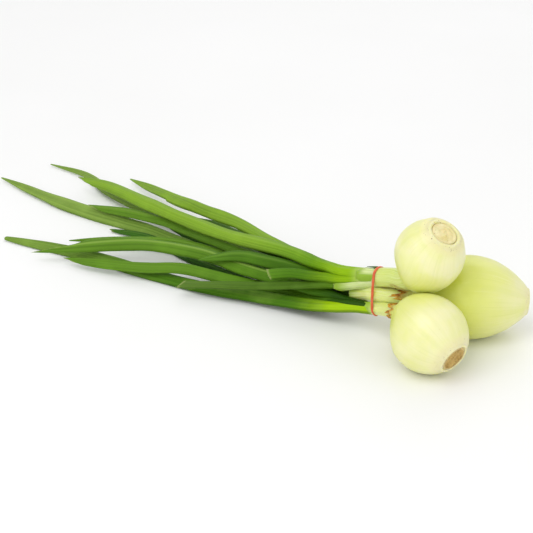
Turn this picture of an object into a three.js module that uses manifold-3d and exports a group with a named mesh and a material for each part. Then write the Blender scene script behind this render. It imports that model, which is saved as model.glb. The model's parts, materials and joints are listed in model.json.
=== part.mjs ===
// A bunch of three spring onions, tied at the necks with a rubber band and lying on a table.
// Millimetres, +Z up, +X towards the bulbs, -Y towards the side with the lower front bulb.
// Positions are given in the bunch's own frame, which starts on the table right under the band.
// The finished group is then moved so that its origin is the middle of its footprint.
import * as THREE from 'three';
import { mergeVertices } from 'three/addons/utils/BufferGeometryUtils.js';
import Module from 'manifold-3d';

const wasm = await Module();
wasm.setup();

// Driving dimensions
const BULB_SIDES = 24; // facets round a bulb and its neck
const LEAF_SIDES = 10; // facets round a leaf
const NECK_STEP = 5; // distance between two sections of a neck
const NECK_SPAN = 3; // sections over which a bulb and its neck turn together
const LEAF_STEP = 12; // distance between two sections of a leaf
const FINE_STEPS = 24; // steps between two route points before a route is divided evenly

const SOCKET_DEPTH = 5; // length of a leaf inside its neck
const STRAIGHT_START = 6; // a leaf leaves its neck straight on for this distance
const SOCKET_GAP = 0.25; // clear space round a leaf in its socket
const ROOTED_RADIUS = 1; // a leaf inside its neck
const BASE_GROWTH = 28; // distance in which a leaf grows from its foot to its full width
const LEAF_THICKNESS = 0.46; // of its width: a leaf is a slightly flattened tube
const TAPER_START = 0.6; // part of the length after which a leaf narrows towards its tip
const ENDS = {
  point: { width: 0.12, power: 2.8 }, // the last section, of the full width, and how late it narrows
  blunt: { width: 0.35, power: 4 },
  cut: { width: 1, power: 1 },
};
const CUT_HOLLOW = 12; // depth of the open tube at a leaf that was cut short
const CUT_WALL = 0.8;

const CLEARANCE = 1; // distance that settling leaves keep from each other
const NEIGHBOURHOOD = 30; // stretches further away than this can't touch
const SETTLE_PASSES = 260;
const SETTLE_SMOOTHING = 0.1;
const LEAF_FACING = new THREE.Vector3(0.3, -0.5, 0.81); // the way the broad side of the leaves faces

const PLATE_GAP = 0.3; // between a bulb and its root plate
const PLATE_THICKNESS = 1.5;
const RIM_HEIGHT = 1.1; // swollen rim of the bulb round its root plate
const RIM_WIDTH = 1.9;
const RIM_CREST = 0.6; // where the rim is highest, from its inner edge
// The root plate from its middle at the back round to its middle in front: radius and height, as
// shares of the plate's own radius and thickness.
const PLATE_PROFILE = [
  [0, 0],
  [0.98, 0],
  [1, 0.3],
  [0.97, 0.85],
  [0.8, 1.15],
  [0.6, 0.95],
  [0.3, 1],
  [0, 0.9],
];
const TABLE_SIZE = 300;
const TABLE_DEPTH = 20;

const SKIN_SIDES = 16;
const SKIN_STATIONS = 3; // neck sections that the dry skin covers
const SKIN_GAP = 0.4;
const SKIN_THICKNESS = 0.7;
const SKIN_FLARE = 0.5; // it stands off the neck this much at its torn edge
const SKIN_RAG = 3; // longest tatter

const BAND_THICKNESS = 1.1;
const BAND_WIDTH = 2.4;
const BAND_GAP = 0.3;
const NECK_SLANT = 1.13; // a neck that slants through the band takes this much more room in it
const BAND_SECTIONS = 36;
const BAND_MIDDLE = { y: 0, z: 29 };
const BAND_TOP = 45; // height at which the leaning band crosses x = 0
const BAND_LEAN = 0.18; // how far it runs towards the bulbs for each millimetre down

const vec = (x, y, z) => new THREE.Vector3(x, y, z);

// Each onion: where its bulb lies, which way its roots point, and its neck as x, y, z and radius.
const ONIONS = {
  top: {
    centre: vec(42.2, -0.4, 68.7),
    rootDirection: vec(0.521, -0.027, 0.853),
    radius: 23.2,
    rootReach: 23.4,
    rootTaper: 0.5,
    plateRadius: 8.8,
    shoulder: { length: 26, fullness: 2.4, fall: 1.3 },
    neck: [
      [33.5, -2.4, 51.5, 7],
      [24.5, -0.4, 44.4, 6.6],
      [13, 3.6, 41.4, 6.2],
      [0, 3.6, 38, 6.2],
      [-14, 3, 34.3, 6.8],
      [-33, 1.4, 29, 8],
    ],
  },
  front: {
    centre: vec(58.8, -23.7, 24.9),
    rootDirection: vec(0.917, -0.18, -0.355),
    radius: 25.5,
    rootReach: 26,
    rootTaper: 0.5,
    plateRadius: 9.2,
    shoulder: { length: 29, fullness: 2.4, fall: 1.3 },
    drySkinStart: 26,
    neck: [
      [38, -18.5, 31, 5.4],
      [24, -12.5, 26.2, 4.3],
      [12.5, -6.6, 22, 4],
      [0, -3.9, 18.4, 4],
      [-12, -4.4, 16.8, 4.3],
      [-22, -4.6, 14.6, 4.8],
    ],
  },
  back: {
    centre: vec(52.8, 33.4, 27.4),
    rootDirection: vec(0.795, 0.599, -0.09),
    radius: 28,
    rootReach: 43.5,
    rootTaper: 0.75,
    plateRadius: 7,
    shoulder: { length: 43, fullness: 2.2, fall: 1.3 },
    drySkinStart: 35,
    neck: [
      [27, 12.5, 28, 7.2],
      [16.5, 4.2, 27.5, 6.3],
      [7.5, 0.6, 27.6, 5.2],
      [0, -0.9, 27.5, 4.2],
      [-10, 3.3, 23.2, 4.6],
      [-20, 5, 19.2, 5.4],
    ],
  },
};

// Each leaf: its onion, its foot on the neck's end (towards the front, up, and its radius), its
// half width, how it ends, and the points that it passes on its way to the tip.
const LEAVES = {
  top_lower: {
    onion: 'top', foot: [2.4, -4.6, 2.4], width: 3.1, end: 'cut',
    route: [[-61, -13, 20], [-88, -22, 15], [-115, -32, 12], [-137, -40, 9]],
  },
  top_short: {
    onion: 'top', foot: [5, 0, 2.3], width: 3.9, end: 'cut',
    route: [[-49, -4, 29], [-65, -8, 27], [-79, -14, 24]],
  },
  top_middle: {
    onion: 'top', foot: [0, 0, 2.1], width: 4.6, end: 'point',
    route: [[-64, 3, 28], [-92, 1, 23], [-116, -3, 19], [-138, -14, 14]],
  },
  top_thin: {
    onion: 'top', foot: [-2.6, -4.4, 1.8], width: 1.8, end: 'point',
    route: [[-67, -1, 20], [-87, -1, 17], [-103, -2, 15], [-125, 2, 10]],
  },
  top_broad: {
    onion: 'top', foot: [2.6, 4.5, 2.4], width: 5.2, end: 'blunt',
    route: [
      [-76, 7, 29], [-118, 12, 25], [-166, 21, 21], [-222, 32, 18], [-278, 48, 14],
      [-311, 52, 10],
    ],
  },
  top_back: {
    onion: 'top', foot: [-5, 0, 2], width: 4.4, end: 'point',
    route: [[-82, 19, 19], [-115, 29, 14], [-149, 41, 10], [-180, 52, 7], [-205, 58, 4]],
  },
  top_high: {
    onion: 'top', foot: [-2.6, 4.5, 2.3], width: 4.8, end: 'point',
    route: [[-80, 14, 26.5], [-139, 34, 26], [-186, 47, 21], [-238, 66, 13], [-287, 87, 4]],
  },
  back_dark: {
    onion: 'back', foot: [1.55, -2.7, 1.4], width: 3, end: 'point',
    route: [[-49, 5, 9], [-79, 0, 4], [-106, -10, 4], [-124, -14, 4]],
  },
  back_long: {
    onion: 'back', foot: [0, 0, 1.4], width: 4.8, end: 'point',
    route: [[-59, 7, 13], [-114, 13, 6], [-166, 20, 4], [-215, 24, 4], [-292, 22, 4], [-369, 31, 3]],
  },
  back_low: {
    onion: 'back', foot: [-1.55, -2.7, 1.4], width: 3.3, end: 'blunt',
    route: [[-60, 12, 8], [-118, 8, 3], [-166, 10, 3], [-213, 18, 3], [-245, 11, 2]],
  },
  back_over: {
    onion: 'back', foot: [1.55, 2.7, 1.4], width: 4.2, end: 'blunt',
    route: [
      [-67, 7, 19], [-113, 11, 17], [-165, 20, 14], [-204, 28, 13], [-227, 28, 12],
      [-273, 21, 9],
    ],
  },
  back_narrow: {
    onion: 'back', foot: [-1.55, 2.7, 1.4], width: 3.3, end: 'point',
    route: [
      [-78, 18, 12], [-127, 31, 7], [-182, 39, 4], [-233, 47, 4], [-286, 60, 3], [-320, 74, 3],
      [-358, 75, 2],
    ],
  },
  back_side: {
    onion: 'back', foot: [-3.1, 0, 1.4], width: 3, end: 'point',
    route: [[-82, 14, 10], [-121, 27, 7], [-152, 34, 5], [-184, 39, 4], [-213, 46, 3]],
  },
  front_long: {
    onion: 'front', foot: [1.3, -1.5, 1.9], width: 4.8, end: 'blunt',
    route: [
      [-51, -9, 11.5], [-77, -13, 8], [-123, -23, 5], [-171, -29, 3.5], [-227, -34, 3],
      [-293, -46, 2],
    ],
  },
  front_under: {
    onion: 'front', foot: [1.9, 2, 1.3], width: 4.2, end: 'blunt',
    route: [
      [-40, 1.5, 16.5], [-79, 1, 14], [-120, -13, 13], [-145, -21, 12], [-173, -34, 9],
      [-233, -52, 5],
    ],
  },
  front_keeled: {
    onion: 'front', foot: [-1.4, 2.3, 1.3], width: 5.2, end: 'blunt',
    route: [
      [-47, 0, 18], [-96, -2, 17], [-137, -2, 17], [-162, -6, 16], [-194, -17, 15],
      [-255, -60, 9],
    ],
  },
  front_inner: {
    onion: 'front', foot: [-2.4, -0.9, 1.3], width: 3.8, end: 'point',
    route: [
      [-51, 6, 14], [-111, 14, 11], [-148, 16, 10], [-180, 11, 10], [-216, -8, 9],
      [-247, -28, 7],
    ],
  },
};

// Materials
const paint = (color, roughness) => new THREE.MeshStandardMaterial({ color, roughness, metalness: 0 });
const MATERIALS = {
  bulb: paint('#ecefae', 0.45),
  papery: paint('#b9803a', 0.8),
  rootPlate: paint('#cdb878', 0.85),
  leaf: paint('#5f8f2a', 0.5),
  band: paint('#e06a3c', 0.55),
};

// Geometry helpers

// A closed skin over rings of points that all have the same count, with a point at each end.
function skin(startPole, rings, endPole) {
  const sides = rings[0].length;
  const points = [startPole, ...rings.flat(), endPole];
  const faces = [];
  const index = (ring, side) => 1 + ring * sides + (side % sides);
  const last = points.length - 1;
  for (let side = 0; side < sides; side += 1) {
    faces.push(0, index(0, side + 1), index(0, side));
    for (let ring = 0; ring + 1 < rings.length; ring += 1) {
      const a = index(ring, side);
      const b = index(ring, side + 1);
      const c = index(ring + 1, side + 1);
      const d = index(ring + 1, side);
      faces.push(a, b, c, a, c, d);
    }
    faces.push(last, index(rings.length - 1, side), index(rings.length - 1, side + 1));
  }
  const geometry = new THREE.BufferGeometry().setFromPoints(points);
  geometry.setIndex(faces);
  return geometry;
}

// A closed ring-shaped skin: the last ring of points joins the first again.
function loopSkin(rings) {
  const sides = rings[0].length;
  const index = (ring, side) => (ring % rings.length) * sides + (side % sides);
  const faces = [];
  rings.forEach((_, ring) => {
    for (let side = 0; side < sides; side += 1) {
      const a = index(ring, side);
      const b = index(ring, side + 1);
      const c = index(ring + 1, side + 1);
      const d = index(ring + 1, side);
      faces.push(a, c, b, a, d, c);
    }
  });
  const geometry = new THREE.BufferGeometry().setFromPoints(rings.flat());
  geometry.setIndex(faces);
  return geometry;
}

// Repeatable random numbers from 0 to 1.
function seeded(seed) {
  let state = seed;
  return () => {
    state = (state * 1103515245 + 12345) % 2147483648;
    return state / 2147483648;
  };
}

function solidOf(geometry) {
  const bare = geometry.clone();
  bare.deleteAttribute('normal');
  bare.deleteAttribute('uv');
  const merged = mergeVertices(bare, 1e-4);
  const mesh = new wasm.Mesh({
    numProp: 3,
    vertProperties: merged.getAttribute('position').array,
    triVerts: new Uint32Array(merged.getIndex().array),
  });
  return new wasm.Manifold(mesh);
}

function geometryOf(solid) {
  const mesh = solid.getMesh();
  const geometry = new THREE.BufferGeometry();
  geometry.setAttribute('position', new THREE.Float32BufferAttribute(mesh.vertProperties, 3));
  geometry.setIndex(new THREE.Uint32BufferAttribute(mesh.triVerts, 1));
  return geometry;
}

function meshOf(name, geometry, material) {
  geometry.computeVertexNormals();
  const mesh = new THREE.Mesh(geometry, material);
  mesh.name = name;
  return mesh;
}

// Points an equal distance apart, about one step, on a smooth curve through the route.
function divide(route, step) {
  const fine = new THREE.CatmullRomCurve3(route).getPoints(FINE_STEPS * (route.length - 1));
  const run = [0];
  for (let i = 1; i < fine.length; i += 1) {
    run.push(run[i - 1] + fine[i].distanceTo(fine[i - 1]));
  }
  const length = run[run.length - 1];
  const count = Math.round(length / step);
  const points = [fine[0].clone()];
  let i = 1;
  for (let k = 1; k < count; k += 1) {
    const target = (length * k) / count;
    while (run[i] < target) i += 1;
    points.push(fine[i - 1].clone().lerp(fine[i], (target - run[i - 1]) / (run[i] - run[i - 1])));
  }
  points.push(fine[fine.length - 1].clone());
  return points;
}

// The direction of a path at each point, taken over a span of points to both sides.
function tangents(points, span) {
  return points.map((point, i) => {
    const before = points[Math.max(i - span, 0)];
    const after = points[Math.min(i + span, points.length - 1)];
    return after.clone().sub(before).normalize();
  });
}

// Cross directions at each point: `thin` is the facing made square to the path, `wide` is across it.
function frames(points, facing, span = 1) {
  return tangents(points, span).map((along) => {
    const thin = facing.clone().addScaledVector(along, -facing.dot(along)).normalize();
    return { along, thin, wide: thin.clone().cross(along) };
  });
}

function ellipse(centre, frame, halfWidth, halfThickness, sides) {
  return Array.from({ length: sides }, (_, i) => {
    const angle = (2 * Math.PI * i) / sides;
    return centre.clone()
      .addScaledVector(frame.wide, halfWidth * Math.cos(angle))
      .addScaledVector(frame.thin, halfThickness * Math.sin(angle));
  });
}

// Onions

function bulbRadius(onion, s, neckRadius) {
  if (s < 0) {
    return onion.radius * (1 - (s / onion.rootReach) ** 2) ** onion.rootTaper;
  }
  const { length, fullness, fall } = onion.shoulder;
  const u = Math.min(s / length, 1);
  return neckRadius + (onion.radius - neckRadius) * (1 - u ** fullness) ** fall;
}

// Distance from the bulb's centre to the end where its root plate sits.
function plateDistance(onion) {
  const share = (onion.plateRadius + RIM_WIDTH) / onion.radius;
  return onion.rootReach * Math.sqrt(1 - share ** (1 / onion.rootTaper));
}

// The smooth path of an onion from its root plate through the bulb to the end of its neck.
function spine(onion) {
  const root = onion.rootDirection.clone().normalize();
  const reach = plateDistance(onion);
  const route = [onion.centre.clone().addScaledVector(root, reach), onion.centre];
  onion.neck.forEach(([x, y, z]) => route.push(vec(x, y, z)));
  const points = divide(route, NECK_STEP);
  let s = -reach;
  const distance = points.map((point, i) => {
    s += i ? point.distanceTo(points[i - 1]) : 0;
    return s;
  });
  return { points, distance, root };
}

function neckRadiusAt(onion, point) {
  const knots = onion.neck;
  if (point.x >= knots[0][0]) return knots[0][3];
  for (let i = 1; i < knots.length; i += 1) {
    if (point.x >= knots[i][0]) {
      const share = (point.x - knots[i][0]) / (knots[i - 1][0] - knots[i][0]);
      return knots[i][3] + (knots[i - 1][3] - knots[i][3]) * share;
    }
  }
  return knots[knots.length - 1][3];
}

function makeOnion(onion) {
  const { points, distance, root } = spine(onion);
  const side = frames(points, vec(0, 0, 1), NECK_SPAN);
  const ring = (centre, frame, radius) => ellipse(centre, frame, radius, radius, BULB_SIDES);
  const rootEnd = points[0];
  const out = (depth) => rootEnd.clone().addScaledVector(root, depth);
  const recess = out(RIM_HEIGHT - PLATE_THICKNESS - PLATE_GAP);
  const rings = [
    ring(recess, side[0], onion.plateRadius + PLATE_GAP),
    ring(out(RIM_HEIGHT * RIM_CREST), side[0], onion.plateRadius + PLATE_GAP),
    ring(out(RIM_HEIGHT), side[0], onion.plateRadius + RIM_WIDTH * RIM_CREST),
  ];
  points.forEach((point, i) => {
    rings.push(ring(point, side[i], bulbRadius(onion, distance[i], neckRadiusAt(onion, point))));
  });
  const whole = solidOf(skin(recess, rings, points[points.length - 1]));
  const table = new THREE.BoxGeometry(TABLE_SIZE, TABLE_SIZE, TABLE_DEPTH);
  table.translate(onion.centre.x, onion.centre.y, -TABLE_DEPTH / 2);
  return whole.subtract(solidOf(table));
}

// The end of a neck, where its leaves come out.
function neckEnd(onion) {
  const { points } = spine(onion);
  const frame = frames(points, vec(0, -1, 0), NECK_SPAN).pop();
  const point = points[points.length - 1];
  const front = frame.thin;
  const up = frame.along.clone().cross(front).normalize();
  if (up.z < 0) up.negate();
  return { point, along: frame.along, front, up };
}

function makeRootPlate(onion) {
  const radius = onion.plateRadius;
  const profile = PLATE_PROFILE.map(([r, h]) => new THREE.Vector2(r * radius, h * PLATE_THICKNESS));
  const geometry = new THREE.LatheGeometry(profile, BULB_SIDES);
  const root = onion.rootDirection.clone().normalize();
  const turn = new THREE.Quaternion().setFromUnitVectors(vec(0, 1, 0), root);
  const start = plateDistance(onion) + RIM_HEIGHT - PLATE_THICKNESS;
  const place = onion.centre.clone().addScaledVector(root, start);
  geometry.applyQuaternion(turn).translate(place.x, place.y, place.z);
  return geometryOf(solidOf(geometry));
}

// The torn edge of dry skin round the neck of a bulb: a sleeve with a ragged outer edge.
function makePaperySkin(onion, random) {
  const { points, distance } = spine(onion);
  const side = frames(points, vec(0, 0, 1), NECK_SPAN);
  const first = distance.findIndex((s) => s > onion.drySkinStart);
  const inner = [];
  const outer = [];
  const ragged = Array.from({ length: SKIN_SIDES }, () => random() * SKIN_RAG);
  for (let k = 0; k < SKIN_STATIONS; k += 1) {
    const i = first + k;
    const radius = bulbRadius(onion, distance[i], neckRadiusAt(onion, points[i])) + SKIN_GAP;
    const flare = (k / (SKIN_STATIONS - 1)) * SKIN_FLARE;
    const edge = k === SKIN_STATIONS - 1 ? ragged : ragged.map(() => 0);
    const ring = (reach) => ellipse(points[i], side[i], reach, reach, SKIN_SIDES)
      .map((point, n) => point.addScaledVector(side[i].along, edge[n]));
    inner.push(ring(radius + flare));
    outer.push(ring(radius + flare + SKIN_THICKNESS));
  }
  return loopSkin([...inner, ...outer.reverse()]);
}

// Leaves

// Half the width of a leaf at a distance from its neck, when the whole leaf is `length` long.
function leafWidth(leaf, distance, length) {
  const foot = leaf.foot[2];
  const grown = THREE.MathUtils.smoothstep(distance, 0, BASE_GROWTH);
  const full = foot + (leaf.width - foot) * grown;
  const past = Math.max(distance / length - TAPER_START, 0) / (1 - TAPER_START);
  const { width, power } = ENDS[leaf.end];
  return full * (1 - (1 - width) * past ** power);
}

// How thick a leaf is for its width: round at its foot and flatter where it has grown.
const leafFlatness = (distance) =>
  1 - (1 - LEAF_THICKNESS) * THREE.MathUtils.smoothstep(distance, 0, BASE_GROWTH);

function startLeaf(leaf) {
  const { point, along, front, up } = neckEnd(ONIONS[leaf.onion]);
  const foot = point.clone()
    .addScaledVector(along, SOCKET_GAP)
    .addScaledVector(front, leaf.foot[0])
    .addScaledVector(up, leaf.foot[1]);
  const outside = foot.clone().addScaledVector(along, STRAIGHT_START);
  const points = divide([foot, outside, ...leaf.route.map((p) => vec(...p))], LEAF_STEP);
  const step = points[0].distanceTo(points[1]);
  const length = step * (points.length - 1);
  return {
    points,
    start: points.map((p) => p.clone()),
    width: points.map((_, i) => leafWidth(leaf, step * i, length)),
    flat: points.map((_, i) => leafFlatness(step * i)),
    facing: LEAF_FACING,
    held: 1,
    along,
    footFrame: frames([foot, outside], LEAF_FACING)[0],
  };
}

function startNeck(onion) {
  const points = onion.neck.map(([x, y, z]) => vec(x, y, z));
  const width = onion.neck.map((knot) => knot[3]);
  const flat = onion.neck.map(() => 1);
  return { points, start: points, width, flat, facing: vec(0, 0, 1), held: points.length };
}

const reachAlong = (chain, i, frame, direction) => Math.hypot(
  chain.width[i] * frame.wide.dot(direction),
  chain.width[i] * chain.flat[i] * frame.thin.dot(direction),
);

// Moves the points of one chain clear of the stretches of another.
function separate(one, other, push, otherPush) {
  const toPoint = new THREE.Vector3();
  const stretch = new THREE.Vector3();
  for (let i = 0; i < one.points.length; i += 1) {
    for (let j = 0; j + 1 < other.points.length; j += 1) {
      stretch.subVectors(other.points[j + 1], other.points[j]);
      toPoint.subVectors(one.points[i], other.points[j]);
      if (toPoint.length() > NEIGHBOURHOOD) continue;
      const share = THREE.MathUtils.clamp(toPoint.dot(stretch) / stretch.lengthSq(), 0, 1);
      toPoint.addScaledVector(stretch, -share);
      const distance = toPoint.length();
      const direction = toPoint.divideScalar(distance);
      const near = share < 0.5 ? j : j + 1;
      const wanted = CLEARANCE
        + reachAlong(one, i, one.frames[i], direction)
        + reachAlong(other, near, other.frames[near], direction);
      const short = wanted - distance;
      if (short <= 0) continue;
      push[i].move.addScaledVector(direction, short / 2);
      push[i].count += 1;
      otherPush[j].move.addScaledVector(direction, (-short / 2) * (1 - share));
      otherPush[j].count += 1 - share;
      otherPush[j + 1].move.addScaledVector(direction, (-short / 2) * share);
      otherPush[j + 1].count += share;
    }
  }
}

// Lets the leaves come to rest against each other, on the table, with clear space between them.
function settle(leaves, necks) {
  const chains = [...leaves, ...necks];
  for (let pass = 0; pass < SETTLE_PASSES; pass += 1) {
    chains.forEach((chain) => {
      chain.frames = frames(chain.points, chain.facing);
      chain.push = chain.points.map(() => ({ move: vec(0, 0, 0), count: 0 }));
    });
    chains.forEach((one, a) => chains.forEach((other, b) => {
      if (a !== b) separate(one, other, one.push, other.push);
    }));
    leaves.forEach((leaf) => {
      const { points, start, push, held } = leaf;
      for (let i = held; i < points.length; i += 1) {
        points[i].addScaledVector(push[i].move, 1 / Math.max(push[i].count, 1));
      }
      const drift = points.map((point, i) => point.clone().sub(start[i]));
      for (let i = held; i < points.length; i += 1) {
        const after = drift[Math.min(i + 1, points.length - 1)];
        const middle = drift[i - 1].clone().add(after).multiplyScalar(0.5);
        points[i].copy(start[i]).add(drift[i].clone().lerp(middle, SETTLE_SMOOTHING));
        points[i].z = Math.max(points[i].z, reachAlong(leaf, i, leaf.frames[i], vec(0, 0, 1)));
      }
    });
  }
}

// A leaf is a tube that starts as a thin peg inside its neck and widens right outside it.
function makeLeaf(leaf, chain) {
  const side = [chain.footFrame, ...frames(chain.points, chain.facing).slice(1)];
  const section = (i, wall) => ellipse(
    chain.points[i],
    side[i],
    chain.width[i] - wall,
    chain.width[i] * chain.flat[i] - wall,
    LEAF_SIDES,
  );
  const bottom = chain.points[0].clone().addScaledVector(chain.along, -SOCKET_DEPTH);
  const peg = [bottom, chain.points[0]].map((point) =>
    ellipse(point, side[0], ROOTED_RADIUS, ROOTED_RADIUS, LEAF_SIDES));
  const rings = [...peg, ...chain.points.map((_, i) => section(i, 0))];
  const last = chain.points.length - 1;
  if (leaf.end !== 'cut') {
    const tip = chain.points[last].clone().addScaledVector(side[last].along, chain.width[last]);
    return skin(bottom, rings, tip);
  }
  rings.push(section(last, CUT_WALL));
  const floor = last - Math.max(Math.round(CUT_HOLLOW / LEAF_STEP), 1);
  for (let i = last - 1; i >= floor; i -= 1) rings.push(section(i, CUT_WALL));
  return skin(bottom, rings, chain.points[floor]);
}

// The room for a leaf's peg, which is cut out of the neck.
function makeSocket(chain) {
  const radius = ROOTED_RADIUS + SOCKET_GAP;
  const length = SOCKET_DEPTH * 2;
  const geometry = new THREE.CylinderGeometry(radius, radius, length, LEAF_SIDES);
  const turn = new THREE.Quaternion().setFromUnitVectors(vec(0, 1, 0), chain.along);
  const middle = chain.points[0].clone().addScaledVector(chain.along, -SOCKET_GAP);
  geometry.applyQuaternion(turn).translate(middle.x, middle.y, middle.z);
  return solidOf(geometry);
}

// Rubber band

// Where the leaning plane of the band is at a height.
const bandX = (z) => BAND_LEAN * (BAND_TOP - z);

// The place and the radius of a neck where it goes through the band.
function throughBand(onion) {
  const knots = onion.neck;
  const over = knots.map(([x, , z]) => x - bandX(z));
  const after = over.findIndex((distance) => distance < 0);
  const share = over[after - 1] / (over[after - 1] - over[after]);
  return knots[after - 1].map((value, k) => value + (knots[after][k] - value) * share);
}

// A stretched band follows the furthest reach of the three necks from its middle.
function makeBand() {
  const necks = Object.values(ONIONS).map(throughBand);
  const reach = (angle) => Math.max(...necks.map(([, y, z, r]) =>
    (y - BAND_MIDDLE.y) * Math.cos(angle) + (z - BAND_MIDDLE.z) * Math.sin(angle) + r * NECK_SLANT));
  const small = 1e-3;
  const sections = Array.from({ length: BAND_SECTIONS }, (_, i) => {
    const angle = (2 * Math.PI * i) / BAND_SECTIONS;
    const slope = (reach(angle + small) - reach(angle - small)) / (2 * small);
    return { angle, reach: reach(angle) + BAND_GAP, slope };
  });
  const corner = ({ angle, reach: r, slope }, out, across) => {
    const y = BAND_MIDDLE.y + (r + out) * Math.cos(angle) - slope * Math.sin(angle);
    const z = BAND_MIDDLE.z + (r + out) * Math.sin(angle) + slope * Math.cos(angle);
    return vec(bandX(z) + across, y, z);
  };
  const half = BAND_WIDTH / 2;
  return loopSkin(sections.map((section) => [
    corner(section, 0, half),
    corner(section, 0, -half),
    corner(section, BAND_THICKNESS, -half),
    corner(section, BAND_THICKNESS, half),
  ]));
}

// Assembly

const bunch = new THREE.Group(); // in the bunch's own frame
const names = Object.keys(LEAVES);
const chains = names.map((name) => startLeaf(LEAVES[name]));
settle(chains, Object.values(ONIONS).map(startNeck));

Object.entries(ONIONS).forEach(([name, onion]) => {
  let solid = makeOnion(onion);
  names.forEach((leafName, i) => {
    if (LEAVES[leafName].onion === name) solid = solid.subtract(makeSocket(chains[i]));
  });
  bunch.add(meshOf(`${name}_bulb`, geometryOf(solid), MATERIALS.bulb));
  bunch.add(meshOf(`${name}_root_plate`, makeRootPlate(onion), MATERIALS.rootPlate));
});
['front', 'back'].forEach((name, i) => {
  const skinGeometry = makePaperySkin(ONIONS[name], seeded(7 + i));
  bunch.add(meshOf(`${name}_papery_skin`, skinGeometry, MATERIALS.papery));
});
names.forEach((name, i) => {
  bunch.add(meshOf(`leaf_${name}`, makeLeaf(LEAVES[name], chains[i]), MATERIALS.leaf));
});
bunch.add(meshOf('rubber_band', makeBand(), MATERIALS.band));

const box = new THREE.Box3().setFromObject(bunch);
bunch.position.set(-(box.min.x + box.max.x) / 2, -(box.min.y + box.max.y) / 2, -box.min.z);

const part = new THREE.Group();
part.name = 'spring_onion_bunch';
part.add(bunch);

export default part;
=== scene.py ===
import json
import math

import bpy
import numpy as np
from mathutils import Matrix, Vector


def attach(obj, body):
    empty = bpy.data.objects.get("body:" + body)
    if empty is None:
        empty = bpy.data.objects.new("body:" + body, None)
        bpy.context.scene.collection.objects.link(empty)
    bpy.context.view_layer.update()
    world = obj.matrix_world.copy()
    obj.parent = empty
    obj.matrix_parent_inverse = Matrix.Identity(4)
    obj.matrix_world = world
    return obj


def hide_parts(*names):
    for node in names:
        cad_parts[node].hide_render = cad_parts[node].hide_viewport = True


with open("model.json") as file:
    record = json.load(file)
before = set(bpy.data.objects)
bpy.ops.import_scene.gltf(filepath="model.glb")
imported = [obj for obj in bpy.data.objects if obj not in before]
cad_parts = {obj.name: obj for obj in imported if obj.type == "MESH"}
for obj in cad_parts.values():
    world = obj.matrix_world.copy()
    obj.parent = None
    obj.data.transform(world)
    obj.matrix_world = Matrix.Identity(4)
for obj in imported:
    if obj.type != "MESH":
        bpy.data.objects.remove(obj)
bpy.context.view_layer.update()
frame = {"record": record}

MM = 0.001
X, Y, Z = np.eye(3)

# Sizes of the leaves, necks, root plates and band
FINE_STEPS = 24
NECK_STEP = 5
NECK_SPAN = 3
LEAF_STEP = 12
STRAIGHT_START = 6
SOCKET_GAP = 0.25
BASE_GROWTH = 28
LEAF_THICKNESS = 0.46
TAPER_START = 0.6
ENDS = {"point": (0.12, 2.8), "blunt": (0.35, 4), "cut": (1, 1)}
CLEARANCE = 1
SETTLE_PASSES = 260
SETTLE_SMOOTHING = 0.1
PASSES_PER_SEARCH = 20
SEARCH_DISTANCE = 45
LEAF_FACING = np.array([0.3, -0.5, 0.81])
PLATE_THICKNESS = 1.5
RIM_HEIGHT = 1.1
RIM_WIDTH = 1.9
BAND_THICKNESS = 0.9
BAND_WIDTH = 1.9
NECK_SLANT = 1.05
BAND_MIDDLE = (0, 29)
BAND_TOP = 45
BAND_LEAN = 0.18

# Each onion: where its bulb lies, which way its roots point, and its neck as x, y, z and radius.
ONIONS = {
    "top": dict(
        centre=(42.2, -0.4, 68.7), root=(0.521, -0.027, 0.853), radius=23.2, reach=23.4,
        taper=0.5, plate=8.8, shoulder=(26, 2.4, 1.3),
        neck=[
            (33.5, -2.4, 51.5, 7), (24.5, -0.4, 44.4, 6.6), (13, 3.6, 41.4, 6.2),
            (0, 3.6, 38, 6.2), (-14, 3, 34.3, 6.8), (-33, 1.4, 29, 8),
        ],
    ),
    "front": dict(
        centre=(58.8, -23.7, 24.9), root=(0.917, -0.18, -0.355), radius=25.5, reach=26,
        taper=0.5, plate=9.2, shoulder=(29, 2.4, 1.3),
        neck=[
            (38, -18.5, 31, 5.4), (24, -12.5, 26.2, 4.3), (12.5, -6.6, 22, 4),
            (0, -3.9, 18.4, 4), (-12, -4.4, 16.8, 4.3), (-22, -4.6, 14.6, 4.8),
        ],
    ),
    "back": dict(
        centre=(52.8, 33.4, 27.4), root=(0.795, 0.599, -0.09), radius=28, reach=43.5,
        taper=0.75, plate=7, shoulder=(43, 2.2, 1.3),
        neck=[
            (27, 12.5, 28, 7.2), (16.5, 4.2, 27.5, 6.3), (7.5, 0.6, 27.6, 5.2),
            (0, -0.9, 27.5, 4.2), (-10, 3.3, 23.2, 4.6), (-20, 5, 19.2, 5.4),
        ],
    ),
}

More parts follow.
